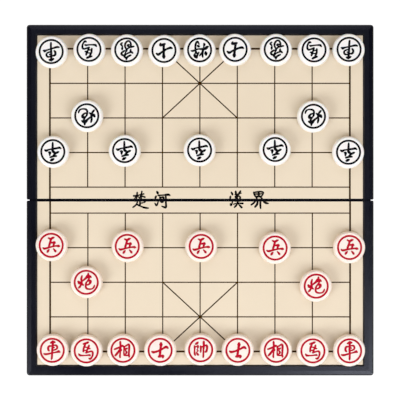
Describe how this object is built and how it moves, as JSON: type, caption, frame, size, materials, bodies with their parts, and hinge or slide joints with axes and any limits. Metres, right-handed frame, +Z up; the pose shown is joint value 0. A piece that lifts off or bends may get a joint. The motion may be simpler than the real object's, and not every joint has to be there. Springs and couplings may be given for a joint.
{
  "type": "folding xiangqi box",
  "caption": "Folding magnetic Chinese chess box: two hinged half shells carry the playing surface on the outside and close mouth to mouth to keep the magnetic chessmen.",
  "frame": {"origin": "on the table under the middle of the fold, with the box lying open", "axes": "+X right along the fold, +Y from the red side to the black side, +Z up out of the playing surface"},
  "size_m": [0.32, 0.3236, 0.0281],
  "materials": {
    "shell_plastic": "satin moulded ABS, near black",
    "link_plastic": "satin moulded acetal, black",
    "board_print": "matt printed sheet, beige with dark brown lines",
    "steel_plate": "plain tinned sheet",
    "pin_steel": "drawn wire",
    "magnet_plating": "nickel plated",
    "chessman_plastic": "white moulded plastic, characters and rings engraved and filled with red or black paint"
  },
  "bodies": {
    "near_half": {"near_shell": "shell_plastic", "near_steel_plate": "steel_plate", "near_board_sheet": "board_print", "near_hinge_pins": "pin_steel", "near_closing_magnets": "magnet_plating"},
    "far_half": {"far_shell": "shell_plastic", "far_steel_plate": "steel_plate", "far_board_sheet": "board_print", "far_hinge_pins": "pin_steel", "far_closing_magnets": "magnet_plating"},
    "hinge_links": {"hinge_link_left": "link_plastic", "hinge_link_right": "link_plastic"},
    "red_soldier_1": {"red_soldier_1": "chessman_plastic"},
    "red_soldier_2": {"red_soldier_2": "chessman_plastic"},
    "red_soldier_3": {"red_soldier_3": "chessman_plastic"},
    "red_soldier_4": {"red_soldier_4": "chessman_plastic"},
    "red_soldier_5": {"red_soldier_5": "chessman_plastic"},
    "red_cannon_left": {"red_cannon_left": "chessman_plastic"},
    "red_cannon_right": {"red_cannon_right": "chessman_plastic"},
    "red_chariot_left": {"red_chariot_left": "chessman_plastic"},
    "red_horse_left": {"red_horse_left": "chessman_plastic"},
    "red_elephant_left": {"red_elephant_left": "chessman_plastic"},
    "red_advisor_left": {"red_advisor_left": "chessman_plastic"},
    "red_general": {"red_general": "chessman_plastic"},
    "red_advisor_right": {"red_advisor_right": "chessman_plastic"},
    "red_elephant_right": {"red_elephant_right": "chessman_plastic"},
    "red_horse_right": {"red_horse_right": "chessman_plastic"},
    "red_chariot_right": {"red_chariot_right": "chessman_plastic"},
    "black_soldier_1": {"black_soldier_1": "chessman_plastic"},
    "black_soldier_2": {"black_soldier_2": "chessman_plastic"},
    "black_soldier_3": {"black_soldier_3": "chessman_plastic"},
    "black_soldier_4": {"black_soldier_4": "chessman_plastic"},
    "black_soldier_5": {"black_soldier_5": "chessman_plastic"},
    "black_cannon_left": {"black_cannon_left": "chessman_plastic"},
    "black_cannon_right": {"black_cannon_right": "chessman_plastic"},
    "black_chariot_left": {"black_chariot_left": "chessman_plastic"},
    "black_horse_left": {"black_horse_left": "chessman_plastic"},
    "black_elephant_left": {"black_elephant_left": "chessman_plastic"},
    "black_advisor_left": {"black_advisor_left": "chessman_plastic"},
    "black_general": {"black_general": "chessman_plastic"},
    "black_advisor_right": {"black_advisor_right": "chessman_plastic"},
    "black_elephant_right": {"black_elephant_right": "chessman_plastic"},
    "black_horse_right": {"black_horse_right": "chessman_plastic"},
    "black_chariot_right": {"black_chariot_right": "chessman_plastic"}
  },
  "joints": [
    {"name": "fold_near_pivot", "type": "hinge", "parent": "near_half", "child": "hinge_links", "pos_m": [0, -0.0032, 0.003], "axis": [-1, 0, 0], "range_deg": [0, 90]},
    {"name": "fold_far_pivot", "type": "hinge", "parent": "hinge_links", "child": "far_half", "pos_m": [0, 0.0032, 0.003], "axis": [-1, 0, 0], "range_deg": [0, 90]},
    {"name": "lift_red_soldier_1", "type": "slide", "parent": "near_half", "child": "red_soldier_1", "axis": [0, 0, 1], "range_m": [0, 0.03]},
    {"name": "lift_red_soldier_2", "type": "slide", "parent": "near_half", "child": "red_soldier_2", "axis": [0, 0, 1], "range_m": [0, 0.03]},
    {"name": "lift_red_soldier_3", "type": "slide", "parent": "near_half", "child": "red_soldier_3", "axis": [0, 0, 1], "range_m": [0, 0.03]},
    {"name": "lift_red_soldier_4", "type": "slide", "parent": "near_half", "child": "red_soldier_4", "axis": [0, 0, 1], "range_m": [0, 0.03]},
    {"name": "lift_red_soldier_5", "type": "slide", "parent": "near_half", "child": "red_soldier_5", "axis": [0, 0, 1], "range_m": [0, 0.03]},
    {"name": "lift_red_cannon_left", "type": "slide", "parent": "near_half", "child": "red_cannon_left", "axis": [0, 0, 1], "range_m": [0, 0.03]},
    {"name": "lift_red_cannon_right", "type": "slide", "parent": "near_half", "child": "red_cannon_right", "axis": [0, 0, 1], "range_m": [0, 0.03]},
    {"name": "lift_red_chariot_left", "type": "slide", "parent": "near_half", "child": "red_chariot_left", "axis": [0, 0, 1], "range_m": [0, 0.03]},
    {"name": "lift_red_horse_left", "type": "slide", "parent": "near_half", "child": "red_horse_left", "axis": [0, 0, 1], "range_m": [0, 0.03]},
    {"name": "lift_red_elephant_left", "type": "slide", "parent": "near_half", "child": "red_elephant_left", "axis": [0, 0, 1], "range_m": [0, 0.03]},
    {"name": "lift_red_advisor_left", "type": "slide", "parent": "near_half", "child": "red_advisor_left", "axis": [0, 0, 1], "range_m": [0, 0.03]},
    {"name": "lift_red_general", "type": "slide", "parent": "near_half", "child": "red_general", "axis": [0, 0, 1], "range_m": [0, 0.03]},
    {"name": "lift_red_advisor_right", "type": "slide", "parent": "near_half", "child": "red_advisor_right", "axis": [0, 0, 1], "range_m": [0, 0.03]},
    {"name": "lift_red_elephant_right", "type": "slide", "parent": "near_half", "child": "red_elephant_right", "axis": [0, 0, 1], "range_m": [0, 0.03]},
    {"name": "lift_red_horse_right", "type": "slide", "parent": "near_half", "child": "red_horse_right", "axis": [0, 0, 1], "range_m": [0, 0.03]},
    {"name": "lift_red_chariot_right", "type": "slide", "parent": "near_half", "child": "red_chariot_right", "axis": [0, 0, 1], "range_m": [0, 0.03]},
    {"name": "lift_black_soldier_1", "type": "slide", "parent": "far_half", "child": "black_soldier_1", "axis": [0, 0, 1], "range_m": [0, 0.03]},
    {"name": "lift_black_soldier_2", "type": "slide", "parent": "far_half", "child": "black_soldier_2", "axis": [0, 0, 1], "range_m": [0, 0.03]},
    {"name": "lift_black_soldier_3", "type": "slide", "parent": "far_half", "child": "black_soldier_3", "axis": [0, 0, 1], "range_m": [0, 0.03]},
    {"name": "lift_black_soldier_4", "type": "slide", "parent": "far_half", "child": "black_soldier_4", "axis": [0, 0, 1], "range_m": [0, 0.03]},
    {"name": "lift_black_soldier_5", "type": "slide", "parent": "far_half", "child": "black_soldier_5", "axis": [0, 0, 1], "range_m": [0, 0.03]},
    {"name": "lift_black_cannon_left", "type": "slide", "parent": "far_half", "child": "black_cannon_left", "axis": [0, 0, 1], "range_m": [0, 0.03]},
    {"name": "lift_black_cannon_right", "type": "slide", "parent": "far_half", "child": "black_cannon_right", "axis": [0, 0, 1], "range_m": [0, 0.03]},
    {"name": "lift_black_chariot_left", "type": "slide", "parent": "far_half", "child": "black_chariot_left", "axis": [0, 0, 1], "range_m": [0, 0.03]},
    {"name": "lift_black_horse_left", "type": "slide", "parent": "far_half", "child": "black_horse_left", "axis": [0, 0, 1], "range_m": [0, 0.03]},
    {"name": "lift_black_elephant_left", "type": "slide", "parent": "far_half", "child": "black_elephant_left", "axis": [0, 0, 1], "range_m": [0, 0.03]},
    {"name": "lift_black_advisor_left", "type": "slide", "parent": "far_half", "child": "black_advisor_left", "axis": [0, 0, 1], "range_m": [0, 0.03]},
    {"name": "lift_black_general", "type": "slide", "parent": "far_half", "child": "black_general", "axis": [0, 0, 1], "range_m": [0, 0.03]},
    {"name": "lift_black_advisor_right", "type": "slide", "parent": "far_half", "child": "black_advisor_right", "axis": [0, 0, 1], "range_m": [0, 0.03]},
    {"name": "lift_black_elephant_right", "type": "slide", "parent": "far_half", "child": "black_elephant_right", "axis": [0, 0, 1], "range_m": [0, 0.03]},
    {"name": "lift_black_horse_right", "type": "slide", "parent": "far_half", "child": "black_horse_right", "axis": [0, 0, 1], "range_m": [0, 0.03]},
    {"name": "lift_black_chariot_right", "type": "slide", "parent": "far_half", "child": "black_chariot_right", "axis": [0, 0, 1], "range_m": [0, 0.03]}
  ]
}
